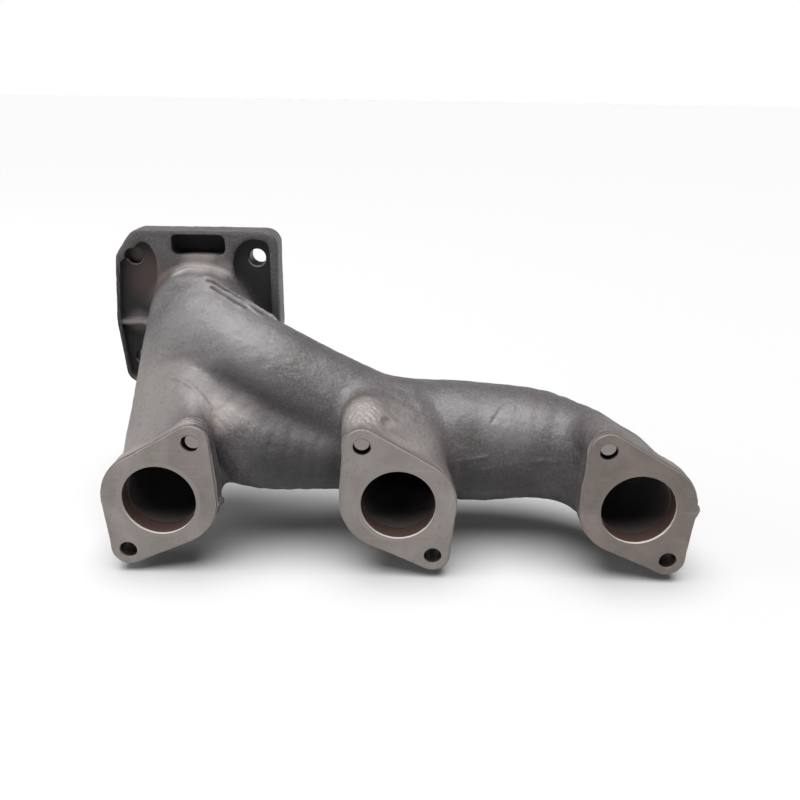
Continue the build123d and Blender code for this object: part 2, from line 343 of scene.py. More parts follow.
def hull_distance(x, z, circles, directions=72):
    """Distance to the convex outline drawn round a set of circles (x, z, radius)."""
    nearest = np.full(len(x), -1e6, np.float32)
    for angle in 2 * math.pi * np.arange(directions) / directions:
        side = (math.cos(angle), math.sin(angle))
        reach = max(side[0] * cx + side[1] * cz + radius for cx, cz, radius in circles)
        nearest = np.maximum(nearest, side[0] * x + side[1] * z - reach)
    return nearest


def oblong_distance(x, z, centre, width, height, radius):
    """Distance to a rectangle with round corners."""
    across = np.abs(x - centre[0]) - width / 2 + radius
    up = np.abs(z - centre[1]) - height / 2 + radius
    outside = np.hypot(np.maximum(across, 0), np.maximum(up, 0))
    return outside + np.minimum(np.maximum(across, up), 0) - radius


def extruded(outline, y, front, back, rounding):
    """An outline in X and Z carried from one Y to another, its edges rounded."""
    flat = outline + rounding
    deep = np.abs(y - (front + back) / 2) - (back - front) / 2 + rounding
    outside = np.hypot(np.maximum(flat, 0), np.maximum(deep, 0))
    return outside + np.minimum(np.maximum(flat, deep), 0) - rounding


# ---- the casting's shape ---------------------------------------------------------------------


def port_places():
    return [(PORT_CENTRES[number], PORT_LEANS[number]) for number in (1, 2, 3)]


def shoulder_distance(points, number):
    """The thick part behind an upper ear, which slopes back into the pipe."""
    centre_x, lean = PORT_CENTRES[number], PORT_LEANS[number]
    thick = np.full(len(points), 1e6, np.float32)
    for stations in SHOULDERS[number]:
        placed = [(centre_x + lean * x, y, z, radius) for x, y, z, radius in stations]
        thick = smooth_union(thick, pipe_distance(points, placed), SHOULDER_FILLET)
    outline = flange_outline(points[:, 0], points[:, 2], centre_x, lean)
    near_face = np.clip(1 - points[:, 1] / FLANGE_BACK, 0, 1)
    return np.maximum(thick, outline - 40 * (1 - near_face))


def flange_circles(centre_x, lean):
    return (
        (centre_x + FLANGE_BODY_SPREAD, 0.0, FLANGE_BODY_RADIUS),
        (centre_x - FLANGE_BODY_SPREAD, 0.0, FLANGE_BODY_RADIUS),
        (centre_x + lean * UPPER_STUD[0], UPPER_STUD[1], UPPER_EAR_RADIUS),
        (centre_x + lean * LOWER_STUD[0], LOWER_STUD[1], LOWER_EAR_RADIUS),
    )


def flange_outline(x, z, centre_x, lean):
    return hull_distance(x, z, flange_circles(centre_x, lean))


def port_flange(points, centre_x, lean):
    x, y, z = points.T
    plate = extruded(flange_outline(x, z, centre_x, lean), y, -OVERSIZE, FLANGE_BACK, 1.2)
    ear = np.hypot(x - centre_x - lean * LOWER_STUD[0], z - LOWER_STUD[1]) - LOWER_EAR_RADIUS
    boss = extruded(ear, y, 0.0, LOWER_BOSS_BACK, 2.0)
    return smooth_union(plate, boss, 3.0)


def turbo_hole_places():
    return [
        (TURBO_CENTRE[0] + i * TURBO_HOLE_SPACING[0] / 2, TURBO_CENTRE[1] + k * TURBO_HOLE_SPACING[1] / 2)
        for i in (-1, 1)
        for k in (-1, 1)
    ]


def inset_corners(corners, radius):
    """The centres of the corner circles of a convex outline listed anticlockwise."""
    centres = []
    for index, corner in enumerate(corners):
        before = np.subtract(corner, corners[index - 1])
        after = np.subtract(corners[(index + 1) % len(corners)], corner)
        before /= np.hypot(*before)
        after /= np.hypot(*after)
        inward = np.array([[-before[1], before[0]], [-after[1], after[0]]])
        centres.append(np.array(corner) + np.linalg.solve(inward, [radius, radius]))
    return centres


def turbo_outline(x, z):
    centres = inset_corners(TURBO_CORNERS, TURBO_CORNER_RADIUS)
    return hull_distance(x, z, [(*centre, TURBO_CORNER_RADIUS) for centre in centres])


def turbo_flange(points):
    x, y, z = points.T
    outline = turbo_outline(x, z)
    plate = extruded(outline, y, TURBO_BACK, TURBO_FACE + OVERSIZE, 1.0)
    recess = np.min([nut_pocket(x, z, *place) for place in turbo_hole_places()], axis=0)
    cut_corner = (z - TURBO_CORNERS[5][1] - x + TURBO_CORNERS[5][0]) / math.sqrt(2)
    recess = -smooth_union(-recess, -np.maximum(x - TURBO_CORNERS[3][0], cut_corner) - RIM, 3.0)
    recess = np.maximum(recess, outline + THIN_RIM)
    plate = smooth_cut(plate, extruded(recess, y, TURBO_BACK - 6, POCKET_FLOOR, 1.5), 1.2)
    scoop = oblong_distance(x, z, SCOOP_CENTRE, *SCOOP_SIZE)
    return smooth_cut(plate, extruded(scoop, y, TURBO_BACK - 6, SCOOP_FLOOR, 2.0), 1.0)


def nut_pocket(x, z, hole_x, hole_z):
    """The outline of the recess round one hole: arched over an upper hole, and open towards the rib."""
    outward = 1 if hole_x > TURBO_CENTRE[0] else -1
    above = hole_z > RIB_Z
    centre_z = hole_z - 2.0 if above else hole_z + 2.0
    rib_edge = RIB_Z + (RIB_THICKNESS / 2 if above else -RIB_THICKNESS / 2)
    edge_x = -69.0 if outward > 0 else -166.0
    inner_x = hole_x - outward * POCKET_RADIUS
    far_z = centre_z if above else centre_z - 24.0
    middle = ((edge_x + inner_x) / 2, (far_z + rib_edge) / 2)
    channel = oblong_distance(x, z, middle, abs(edge_x - inner_x), abs(far_z - rib_edge), 2.0)
    arch = np.hypot(x - hole_x, z - centre_z) - POCKET_RADIUS
    return smooth_union(channel, arch, 2.0)


def neck_distance(points):
    x, y, z = points.T
    width, height, radius = NECK
    return extruded(oblong_distance(x, z, NECK_CENTRE, width, height, radius), y, 72.0, 98.0, 6.0)


def casting_distance(points):
    """The outside of the casting, with the machined faces still oversize."""
    body = pipe_distance(points, TRUNK)
    body = smooth_union(body, pipe_distance(points, RUNNER_1), RUNNER_FILLET)
    body = smooth_union(body, pipe_distance(points, PORT_2_NECK), NECK_2_FILLET)
    body = smooth_union(body, pipe_distance(points, LOWER_LOG), LOG_FILLET)
    turbo = smooth_union(turbo_flange(points), neck_distance(points), TURBO_FILLET)
    body = smooth_union(body, turbo, TURBO_FILLET)
    for number in SHOULDERS:
        body = smooth_union(body, shoulder_distance(points, number), SHOULDER_FILLET)
    for centre_x, lean in port_places():
        body = smooth_union(body, port_flange(points, centre_x, lean), FLANGE_FILLET)
    for *centre, radius in FLASH_NUBS:
        nub = np.linalg.norm((points - np.float32(centre)) * (1, 0.6, 1), axis=1) - radius
        body = smooth_union(body, nub, 1.5)
    return np.maximum(body, np.maximum(-OVERSIZE - points[:, 1], points[:, 1] - TURBO_FACE - 5.0))


def passage_stations(stations, from_port=True):
    inner = [(x, y, z, radius - WALL) for x, y, z, radius in stations]
    if from_port:
        inner[0] = (stations[0][0], PASSAGE_START[0], 0.0, PASSAGE_START[1])
    return inner


def passage_distance(points):
    """The cast gas passages inside, from the ends of the port bores to the turbocharger opening."""
    x, y, z = points.T
    passage = pipe_distance(points, passage_stations(TRUNK))
    for stations in (RUNNER_1, PORT_2_NECK):
        passage = smooth_union(passage, pipe_distance(points, passage_stations(stations)), 4.0)
    log = pipe_distance(points, passage_stations(LOWER_LOG, from_port=False))
    passage = smooth_union(passage, log, 4.0)
    passage = np.maximum(passage, np.maximum(5.0 - y, y - 92.0))
    mouth = extruded(oblong_distance(x, z, TURBO_CENTRE, *TURBO_OPENING), y, OPENING_START, BEHIND, 1.0)
    return smooth_union(passage, mouth, 2.0)


# ---- from a distance field to a mesh ---------------------------------------------------------


def sampled_grid(distance, low, high, step):
    """The field on a grid. Blocks far from the surface only get their sign."""
    block = 8
    counts = np.ceil((np.subtract(high, low)) / (step * block)).astype(int) * block
    low = np.array(low, np.float32)
    blocks = np.stack(np.meshgrid(*[np.arange(0, n, block) for n in counts], indexing="ij"), -1)
    blocks = blocks.reshape(-1, 3)
    middles = (low + (blocks + block / 2 - 0.5) * step).astype(np.float32)
    rough = distance(middles)
    field = np.empty(counts, np.float32)
    tiles = field.reshape(counts[0] // block, block, counts[1] // block, block, counts[2] // block, block)
    tiles = tiles.transpose(0, 2, 4, 1, 3, 5)
    tiles[:] = rough.reshape(tiles.shape[:3])[..., None, None, None]
    near = np.abs(rough) < step * block * 1.1
    offsets = np.stack(np.meshgrid(*[np.arange(block)] * 3, indexing="ij"), -1).reshape(-1, 3)
    points = blocks[near][:, None] + offsets[None]
    values = distance((low + points.reshape(-1, 3) * step).astype(np.float32))
    flat = points.reshape(-1, 3)
    field[flat[:, 0], flat[:, 1], flat[:, 2]] = values
    return field, low


def fill_checkers(field):
    """Fill in cell faces whose corners alternate in and out, which would pinch the surface to an edge."""
    found = True
    while found:
        found = False
        for one, two in ((0, 1), (1, 2), (0, 2)):
            corners = []
            for i, k in ((0, 0), (1, 0), (0, 1), (1, 1)):
                part = [slice(None)] * 3
                part[one] = slice(i, field.shape[one] - 1 + i)
                part[two] = slice(k, field.shape[two] - 1 + k)
                corners.append(field[tuple(part)])
            inside = [corner < 0 for corner in corners]
            checker = (inside[0] == inside[3]) & (inside[1] == inside[2]) & (inside[0] != inside[1])
            if checker.any():
                found = True
                for corner, was_inside in zip(corners, inside):
                    corner[checker & ~was_inside] = -0.01


def grid_mesh(distance, low, high, step):
    """Vertices and quads of the zero surface of a distance field."""
    field, low = sampled_grid(distance, low, high, step)
    fill_checkers(field)
    inside = field < 0
    cells = tuple(n - 1 for n in field.shape)
    total = np.zeros(cells + (3,), np.float32)
    crossings = np.zeros(cells, np.float32)
    corners = [(i, j, k) for i in (0, 1) for j in (0, 1) for k in (0, 1)]
    for corner in corners:
        for axis in range(3):
            if corner[axis]:
                continue
            other = tuple(c + (axis == a) for a, c in enumerate(corner))
            here = field[tuple(slice(c, c + n) for c, n in zip(corner, cells))]
            there = field[tuple(slice(c, c + n) for c, n in zip(other, cells))]
            crossed = (here < 0) != (there < 0)
            share = np.where(crossed, here / np.where(crossed, here - there, 1), 0)
            crossings += crossed
            for a in range(3):
                total[..., a] += np.where(crossed, corner[a] + (share if a == axis else 0), 0)
    active = crossings > 0
    index = np.full(cells, -1, np.int32)
    index[active] = np.arange(active.sum())
    place = np.argwhere(active) + total[active] / crossings[active][:, None]
    vertices = low + place * step
    return vertices.astype(np.float32), np.vstack(quads_between(inside, index))


def quads_between(inside, index):
    """One quad round every grid edge that the surface crosses, wound outwards."""
    found = []
    for axis in range(3):
        one, two = (axis + 1) % 3, (axis + 2) % 3
        here = [slice(1, n) for n in index.shape]
        here[axis] = slice(0, index.shape[axis])
        there = list(here)
        there[axis] = slice(1, index.shape[axis] + 1)
        first, second = inside[tuple(here)], inside[tuple(there)]
        for leaving in (True, False):
            edges = np.argwhere((first == leaving) & (second != leaving))
            edges[:, [one, two]] += 1
            ring = []
            for back_one, back_two in ((0, 0), (1, 0), (1, 1), (0, 1)):
                cell = edges.copy()
                cell[:, one] -= back_one
                cell[:, two] -= back_two
                ring.append(index[cell[:, 0], cell[:, 1], cell[:, 2]])
            order = ring if leaving else ring[::-1]
            found.append(np.stack(order, 1))
    return found


def field_slope(distance, points, reach=0.25):
    """The value and the unit gradient of a field at the points."""
    signs = np.array([(1, 1, 1), (1, -1, -1), (-1, 1, -1), (-1, -1, 1)], np.float32)
    values = [distance(points + sign * reach) for sign in signs]
    gradient = sum(value[:, None] * sign for value, sign in zip(values, signs)) / (4 * reach)
    length = np.maximum(np.linalg.norm(gradient, axis=1), 1e-6)
    return sum(values) / 4, gradient / length[:, None], length


def settled(distance, vertices):
    """The vertices moved onto the field's zero surface, and the surface normals there."""
    value, normal, length = field_slope(distance, vertices)
    vertices = vertices - normal * np.clip(value / length, -1, 1)[:, None]
    value, normal, length = field_slope(distance, vertices)
    return vertices - normal * np.clip(value / length, -1, 1)[:, None], normal


def refined(vertices, faces, wanted):
    """The mesh with the faces between wanted vertices cut into four."""
    sheet = bmesh.new()
    corners = [sheet.verts.new(vertex) for vertex in vertices]
    for face in faces:
        sheet.faces.new([corners[index] for index in face])
    sheet.verts.index_update()
    edges = [edge for edge in sheet.edges if wanted[edge.verts[0].index] and wanted[edge.verts[1].index]]
    bmesh.ops.subdivide_edges(sheet, edges=edges, cuts=1, use_grid_fill=True)
    sheet.verts.index_update()
    vertices = np.array([vertex.co for vertex in sheet.verts], np.float32)
    faces = [[vertex.index for vertex in face.verts] for face in sheet.faces]
    sheet.free()
    return vertices, faces


def mesh_object(name, vertices, faces):
    mesh = bpy.data.meshes.new(name)
    mesh.from_pydata((np.asarray(vertices, float) * MM).tolist(), [], [list(face) for face in faces])
    mesh.update()
    made = bpy.data.objects.new(name, mesh)
    bpy.context.scene.collection.objects.link(made)
    return made


# ---- surface character -----------------------------------------------------------------------


def lattice_value(cells, seed):
    """A repeatable random number from -1 to 1 for each whole-number cell."""
    mixed = cells[:, 0] * 374761393 + cells[:, 1] * 668265263 + cells[:, 2] * 2147483647 + seed * 144269
    mixed = (mixed ^ (mixed >> 13)) * 1274126177
    mixed = (mixed ^ (mixed >> 16)) & 0xFFFFFF
    return mixed.astype(np.float32) / 0x7FFFFF - 1


def noise(points, size, seed=0):
    """Smooth noise from -1 to 1 whose lumps are about this size."""
    scaled = points / size
    cell = np.floor(scaled).astype(np.int64)
    share = scaled - cell
    share = share * share * (3 - 2 * share)
    value = 0
    for corner in np.ndindex(2, 2, 2):
        weight = np.prod(np.where(corner, share, 1 - share), axis=1)
        value = value + weight * lattice_value(cell + np.array(corner), seed)
    return value


def line_distance(points, stations):
    """Distance to the smooth line through the stations, and the share of its length there."""
    nodes = spline(stations)[:, :3]
    nearest = np.full(len(points), 1e6, np.float32)
    share_there = np.zeros(len(points), np.float32)
    for index, (start, end) in enumerate(zip(nodes[:-1], nodes[1:])):
        line = end - start
        away = points - start
        share = np.clip(away @ line / (line @ line), 0, 1)
        gap = np.linalg.norm(away - share[:, None] * line, axis=1)
        closer = gap < nearest
        nearest = np.where(closer, gap, nearest)
        share_there = np.where(closer, (index + share) / (len(nodes) - 1), share_there)
    return nearest, share_there


def on_surface(stations):
    """The stations of a line moved onto the casting."""
    points, _ = settled(casting_distance, np.array(stations, np.float32))
    return [(*point, 0.0) for point in points]


def ridge(points, stations, width):
    """1 along a line on the casting, falling off within its width, and fading at both ends."""
    gap, share = line_distance(points, on_surface(stations))
    ends = np.clip(np.minimum(share, 1 - share) * 8, 0, 1)
    return np.exp(-((gap / width) ** 2)) * ends


def patch(points, centre, radius):
    """1 at a place, falling to 0 at this distance."""
    gap = np.linalg.norm(points - np.float32(centre), axis=1) / radius
    return np.clip(1 - gap * gap, 0, 1)


def turned_noise(points, direction, long, short, seed):
    """Noise drawn out along a direction, like grinding or dragging marks."""
    along = np.array(direction, np.float32)
    along /= np.linalg.norm(along)
    run = points @ along
    squeezed = (points - run[:, None] * along) / short + (run / long)[:, None] * along
    return noise(squeezed, 1.0, seed)


def flange_steps(points):
    """Fine steps round the edges of the port flanges, where thin layers of metal show."""
    x, y, z = points.T
    steps = np.zeros(len(points), np.float32)
    layer = np.abs((y - GASKET_THICKNESS) / STEP_PITCH % 1.0 - 0.5) * 2
    groove = np.clip((layer - 0.45) * 4, 0, 1)
    for centre_x, lean in port_places():
        outline = flange_outline(x, z, centre_x, lean)
        edge = np.clip(1 - np.abs(outline) / 1.5, 0, 1) * (y < FLANGE_BACK - 1.5) * (y > GASKET_THICKNESS)
        steps = np.maximum(steps, groove * edge)
    return steps


def fine_places(points):
    """Where the mesh has to be finer to carry seams, grinding marks and the steps of the flange edges."""
    fine = np.zeros(len(points), bool)
    for stations, width, _ in SEAMS:
        gap, _ = line_distance(points, on_surface(stations))
        fine |= gap < 2.5 * width
    for centre, radius, _, _ in GROUND_PATCHES:
        fine |= patch(points, centre, radius) > 0
    for centre_x, lean in port_places():
        outline = flange_outline(points[:, 0], points[:, 2], centre_x, lean)
        fine |= (np.abs(outline) < 1.5) & (points[:, 1] > 0) & (points[:, 1] < FLANGE_BACK)
    return fine


def surface_relief(points):
    """How far the rough cast skin stands above or below the smooth shape."""
    rough = 0.5 + 0.5 * np.clip(noise(points, 40.0, 9) * 2, -1, 1)
    relief = 0.25 * noise(points, 16.0, 1) + 0.12 * noise(points, 6.0, 2)
    relief += (0.07 + 0.09 * rough) * noise(points, 2.6, 3) + 0.05 * noise(points, 1.6, 4)
    for stations, width, height in SEAMS:
        broken = 0.65 + 0.35 * noise(points, 7.0, 5)
        relief += height * broken * ridge(points, stations, width)
    for centre, radius, depth in DENTS:
        relief -= depth * patch(points, centre, radius)
    for centre, radius, direction, height in GROUND_PATCHES:
        marks = turned_noise(points, direction, 9.0, 1.3, 6)
        marks += 0.5 * turned_noise(points, direction, 5.0, 2.6, 7)
        relief += height * np.sqrt(patch(points, centre, radius)) * marks
    return relief - STEP_DEPTH * flange_steps(points)


# ---- cutters and the finished casting --------------------------------------------------------


def drum(name, centre, front, back, front_radius, back_radius=None, sides=64):
    """A solid of revolution along Y: a cylinder or a cone."""
    back_radius = front_radius if back_radius is None else back_radius
    angles = 2 * math.pi * np.arange(sides) / sides
    ring = np.stack([np.cos(angles), np.zeros(sides), np.sin(angles)], 1)
    middle = np.array([centre[0], 0.0, centre[1]])
    near = middle + ring * front_radius + (0, front, 0)
    far = middle + ring * back_radius + (0, back, 0)
    return prism(name, near, far)


def prism(name, near, far):
    """A closed solid between two matching rings that run anticlockwise seen from the front."""
    sides = len(near)
    faces = [tuple(range(sides)), tuple(range(2 * sides - 1, sides - 1, -1))]
    for start in range(sides):
        end = (start + 1) % sides
        faces.append((start, start + sides, end + sides, end))
    return mesh_object(name, np.vstack([near, far]), faces)


def around(centre, radius, angle):
    return centre[0] + radius * math.cos(angle), centre[1] + radius * math.sin(angle)


def crescent(name, centre, facing, front, back):
    """The gap that is left of a hole that metal has closed from one side; facing is where it is open."""
    sweep = math.radians(CRESCENT_SWEEP)
    middle = math.radians(facing)
    shares = np.linspace(-1, 1, CRESCENT_POINTS)
    ring = [around(centre, STUD_HOLE_RADIUS, middle + share * sweep) for share in shares]
    inner = around(centre, -CRESCENT_SHIFT, middle)
    inner_sweep = sweep * CRESCENT_INNER_SWEEP
    ring += [around(inner, CRESCENT_TONGUE, middle + share * inner_sweep) for share in shares[::-1]]
    near = np.array([(x, front, z) for x, z in ring])
    return prism(name, near, near + (0, back - front, 0))


def block(name, low, high):
    x0, y0, z0 = low
    x1, y1, z1 = high
    near = np.array([(x0, y0, z0), (x1, y0, z0), (x1, y0, z1), (x0, y0, z1)])
    far = near + (0, y1 - y0, 0)
    return prism(name, near, far)


def facings():
    """What is milled off to leave the flat faces under the gaskets."""
    return [
        block("port_facing", (-200, -30, -80), (200, GASKET_THICKNESS, 80)),
        block("turbo_facing", (-200, TURBO_FACE - GASKET_THICKNESS, 0), (-40, 140, 150)),
    ]


def stud_places(stud):
    return [(centre_x + lean * stud[0], stud[1]) for centre_x, lean in port_places()]


def tongues():
    """The metal that fills most of each upper hole, before its crescent is cut."""
    radius = STUD_HOLE_RADIUS - TONGUE_CLEARANCE
    depth = (TONGUE_FRONT, GASKET_THICKNESS + 1)
    return [drum("tongue", place, *depth, radius) for place in stud_places(UPPER_STUD)]


def hole_cutters():
    """The port bores, stud holes and turbocharger holes."""
    tools = []
    places = zip((1, 2, 3), stud_places(UPPER_STUD), stud_places(LOWER_STUD))
    for number, upper, lower in places:
        bore = (PORT_CENTRES[number], 0)
        tools.append(drum("bore", bore, IN_FRONT, PORT_BORE_DEPTH, PORT_BORE_RADIUS, sides=96))
        tools.append(crescent("upper_hole", upper, CRESCENT_FACING[number], IN_FRONT, UPPER_HOLE_FLOOR))
        tools.append(drum("lower_hole", lower, IN_FRONT, LOWER_BOSS_BACK + 1, STUD_HOLE_RADIUS))
    for place in turbo_hole_places():
        right, low = place[0] > TURBO_CENTRE[0], place[1] < TURBO_CENTRE[1]
        hidden = right and low
        start = TURBO_BACK if hidden else TURBO_BACK - 4
        spans = [(start, BEHIND)] if right or low else [(start, HOLE_WEB[0]), (HOLE_WEB[1], BEHIND)]
        tools += [drum("turbo_hole", place, *span, TURBO_HOLE_RADIUS) for span in spans]
        if not hidden:
            mouth = (POCKET_FLOOR - 1, CHAMFER_END, CHAMFER_RADIUS, TURBO_HOLE_RADIUS)
            tools.append(drum("hole_chamfer", place, *mouth))
    return tools


def combine(target, tool, operation):
    cut = target.modifiers.new("cut", "BOOLEAN")
    cut.operation = operation
    cut.solver = "MANIFOLD"
    cut.object = tool
    depsgraph = bpy.context.evaluated_depsgraph_get()
    mesh = bpy.data.meshes.new_from_object(target.evaluated_get(depsgraph))
    target.modifiers.remove(cut)
    target.data = mesh
    bpy.data.objects.remove(tool)


def make_casting():
    low, high = (-168, -7, -44), (156, 118, 126)
    vertices, faces = grid_mesh(casting_distance, low, high, CAST_STEP)
    vertices, faces = refined(vertices, faces, fine_places(vertices))
    vertices, normals = settled(casting_distance, vertices)
    vertices = vertices + normals * surface_relief(vertices)[:, None]
    casting = mesh_object("manifold_casting_skin", vertices, faces)

    low, high = (-150, 0, -28), (145, 126, 104)
    inner, inner_quads = grid_mesh(passage_distance, low, high, PASSAGE_STEP)
    inner, _ = settled(passage_distance, inner)
    combine(casting, mesh_object("passage", inner, inner_quads), "DIFFERENCE")
    for tool in facings():
        combine(casting, tool, "DIFFERENCE")
    for tool in tongues():
        combine(casting, tool, "UNION")
    for tool in hole_cutters():
        combine(casting, tool, "DIFFERENCE")
    finish_surface(casting)
    return casting


def finish_surface(casting):
    """Smooth shading with crisp machined edges, and the masks that the material reads."""
    mesh = casting.data
    mesh.name = casting.name
    points = np.empty(len(mesh.vertices) * 3, np.float32)
    mesh.vertices.foreach_get("co", points)
    points = points.reshape(-1, 3) / MM
    store_masks(mesh, points)
    mesh.shade_smooth()
    mesh.set_sharp_from_angle(angle=math.radians(SHARP_ANGLE))
    give_finishes(mesh)


def store_masks(mesh, points):
    """Where the skin has soot, grinding, dust or rust, and where light, highlights and shade are painted
    onto it, as values from 0 to 1 for the material.
    """
    x, y, z = points.T
    inside = np.clip(1 - (passage_distance(points) - 0.4) / 0.6, 0, 1)
    inside[y > TURBO_FACE - GASKET_THICKNESS - 0.2] = 0
    store_mask(mesh, "soot", inside)
    # Painted light inside the passages near the ports.
    store_mask(mesh, "mouth", inside * np.clip((MOUTH_PAINTED_LIGHT_END - y) / 12.0, 0, 1))
    ground = [(centre, radius) for centre, radius, _, _ in GROUND_PATCHES]
    # The "ground" mask holds the ground patches and also the painted highlights.
    ground_and_painted_highlight = highest(points, [*ground, *PAINTED_HIGHLIGHT_SPOTS])
    store_mask(mesh, "ground", np.maximum(ground_and_painted_highlight, near_lines(points, PAINTED_HIGHLIGHT_LINES)))
    # Lighter patches: partly dust, partly painted light.
    dust_and_painted_light = highest(points, DUST_AND_PAINTED_LIGHT_PLACES)
    store_mask(mesh, "dust_and_painted_light", dust_and_painted_light)
    # Painted shade in the recesses of the turbocharger flange and along the creases, grooves and
    # undersides.
    dark = np.clip((y - PAINTED_RECESS_SHADE_START) / 1.5, 0, 1) * (y < POCKET_FLOOR + 12) * (1 - dust_and_painted_light)
    dark = dark * np.clip(-turbo_outline(x, z) - 1.0, 0, 1)
    store_mask(mesh, "dark", np.maximum(dark, near_lines(points, PAINTED_SHADE_LINES)))
    # Painted highlights on the trunk, the neck and the pipes.
    store_mask(mesh, "painted_highlight", highest(points, PAINTED_HIGHLIGHT_PLACES))
    store_mask(mesh, "rust", patch(points, *RUST_PLACE))


def near_lines(points, lines):
    """The strength of the strongest of several lines at each point, falling off within their reach."""
    value = np.zeros(len(points), np.float32)
    for stations, reach, strength in lines:
        gap, _ = line_distance(points, [(*station, 0.0) for station in stations])
        value = np.maximum(value, strength * np.clip(1 - (gap / reach) ** 2, 0, 1))
    return value


def highest(points, places):
    """The strongest of several patches at each point."""
    return np.max([patch(points, centre, radius) for centre, radius in places], axis=0)


def give_finishes(mesh):
    """Cast skin everywhere, except a machined finish on flat faces and a dark one in holes and bores."""
    machined, hole, bore = 1, 2, 3
    mesh.materials.clear()
    for material in (cast_iron(), machined_iron(), hole_wall(), bore_wall()):
        mesh.materials.append(material)
    count = len(mesh.polygons)
    centres, normals = np.empty(count * 3, np.float32), np.empty(count * 3, np.float32)
    mesh.polygons.foreach_get("center", centres)
    mesh.polygons.foreach_get("normal", normals)
    centres, normals = centres.reshape(-1, 3) / MM, normals.reshape(-1, 3)
    x, y, z = centres.T
    slots = np.zeros(count, np.int32)
    flat = np.zeros(count, bool)
    for depth in (TONGUE_FRONT, GASKET_THICKNESS, TURBO_FACE - GASKET_THICKNESS):
        flat |= np.abs(y - depth) < 0.02
    slots[flat & (np.abs(normals[:, 1]) > 0.99)] = machined
    behind_face = y > GASKET_THICKNESS + 0.05
    for centre_x in PORT_CENTRES.values():
        in_bore = np.hypot(x - centre_x, z) < PORT_BORE_RADIUS + 0.1
        slots[in_bore & behind_face & (y < PORT_BORE_DEPTH + 0.1)] = bore
    for hole_x, hole_z in stud_places(UPPER_STUD) + stud_places(LOWER_STUD):
        in_hole = np.hypot(x - hole_x, z - hole_z) < STUD_HOLE_RADIUS + 0.1
        slots[in_hole & behind_face & (y < LOWER_BOSS_BACK + 1)] = hole
    for hole_x, hole_z in turbo_hole_places():
        from_axis = np.hypot(x - hole_x, z - hole_z)
        slots[(from_axis < TURBO_HOLE_RADIUS + 0.1) & (y > CHAMFER_END + 0.1)] = hole
        on_chamfer = (from_axis < CHAMFER_RADIUS) & (y < CHAMFER_END)
        # Only the part of each chamfer that faces up gets the light machined finish, a painted highlight;
        # the part facing down keeps the cast skin.
        slots[on_chamfer & (y > POCKET_FLOOR + 0.05) & (normals[:, 2] > 0.2)] = machined
    mesh.polygons.foreach_set("material_index", slots)


def store_mask(mesh, name, values):
    attribute = mesh.attributes.new(name, "FLOAT", "POINT")
    attribute.data.foreach_set("value", np.asarray(values, np.float32))


# ---- materials -------------------------------------------------------------------------------


class Shader:
    """A small helper that adds nodes to one material and links them."""

    def __init__(self, name):
        self.material = bpy.data.materials.new(name)
        self.material.use_nodes = True
        self.nodes = self.material.node_tree.nodes
        self.links = self.material.node_tree.links
        self.surface = self.nodes["Principled BSDF"]
        self.place = self.nodes.new("ShaderNodeTexCoord").outputs["Object"]

    def feed(self, socket, value):
        if isinstance(value, bpy.types.NodeSocket):
            self.links.new(value, socket)
        else:
            socket.default_value = value

    def noise(self, scale, detail=3.0, roughness=0.55, stretch=None):
        node = self.nodes.new("ShaderNodeTexNoise")
        node.inputs["Scale"].default_value = scale
        node.inputs["Detail"].default_value = detail
        node.inputs["Roughness"].default_value = roughness
        place = self.place
        if stretch:
            mapping = self.nodes.new("ShaderNodeMapping")
            mapping.inputs["Scale"].default_value = stretch
            self.links.new(place, mapping.inputs["Vector"])
            place = mapping.outputs["Vector"]
        self.links.new(place, node.inputs["Vector"])
        return node.outputs["Fac"]

    def spread(self, value, low, high, to_low=0.0, to_high=1.0):
        node = self.nodes.new("ShaderNodeMapRange")
        self.feed(node.inputs["Value"], value)
        node.inputs["From Min"].default_value = low
        node.inputs["From Max"].default_value = high
        self.feed(node.inputs["To Min"], to_low)
        self.feed(node.inputs["To Max"], to_high)
        return node.outputs["Result"]

    def faded(self, value, most):
        """A value from 0 to 1 brought down to at most this much."""
        return self.spread(value, 0, 1, 0.0, most)

    def blend(self, share, first, second, kind="MIX"):
        node = self.nodes.new("ShaderNodeMix")
        node.data_type = "RGBA"
        node.blend_type = kind
        self.feed(node.inputs[0], share)
        self.feed(node.inputs[6], first)
        self.feed(node.inputs[7], second)
        return node.outputs[2]

    def mask(self, name):
        node = self.nodes.new("ShaderNodeAttribute")
        node.attribute_name = name
        return node.outputs["Fac"]

    def facing_out(self):
        """1 where the surface looks along Y, 0 where it looks sideways."""
        normal = self.nodes.new("ShaderNodeTexCoord").outputs["Normal"]
        split = self.nodes.new("ShaderNodeSeparateXYZ")
        self.links.new(normal, split.inputs[0])
        size = self.nodes.new("ShaderNodeMath")
        size.operation = "ABSOLUTE"
        self.links.new(split.outputs["Y"], size.inputs[0])
        return self.spread(size.outputs[0], 0.6, 0.9)

    def sum(self, first, second, factor=1.0):
        node = self.nodes.new("ShaderNodeMath")
        node.operation = "MULTIPLY_ADD"
        self.feed(node.inputs[0], second)
        node.inputs[1].default_value = factor
        self.feed(node.inputs[2], first)
        return node.outputs[0]

    def bump(self, height, distance, strength=1.0):
        node = self.nodes.new("ShaderNodeBump")
        node.inputs["Strength"].default_value = strength
        node.inputs["Distance"].default_value = distance
        self.links.new(height, node.inputs["Height"])
        self.links.new(node.outputs["Normal"], self.surface.inputs["Normal"])

    def finish(self, color, roughness, metallic=0.0, specular=0.5):
        self.feed(self.surface.inputs["Base Color"], color)
        self.feed(self.surface.inputs["Roughness"], roughness)
        self.feed(self.surface.inputs["Metallic"], metallic)
        self.feed(self.surface.inputs["Specular IOR Level"], specular)
        return self.material


def rgb(red, green, blue):
    return (red, green, blue, 1.0)


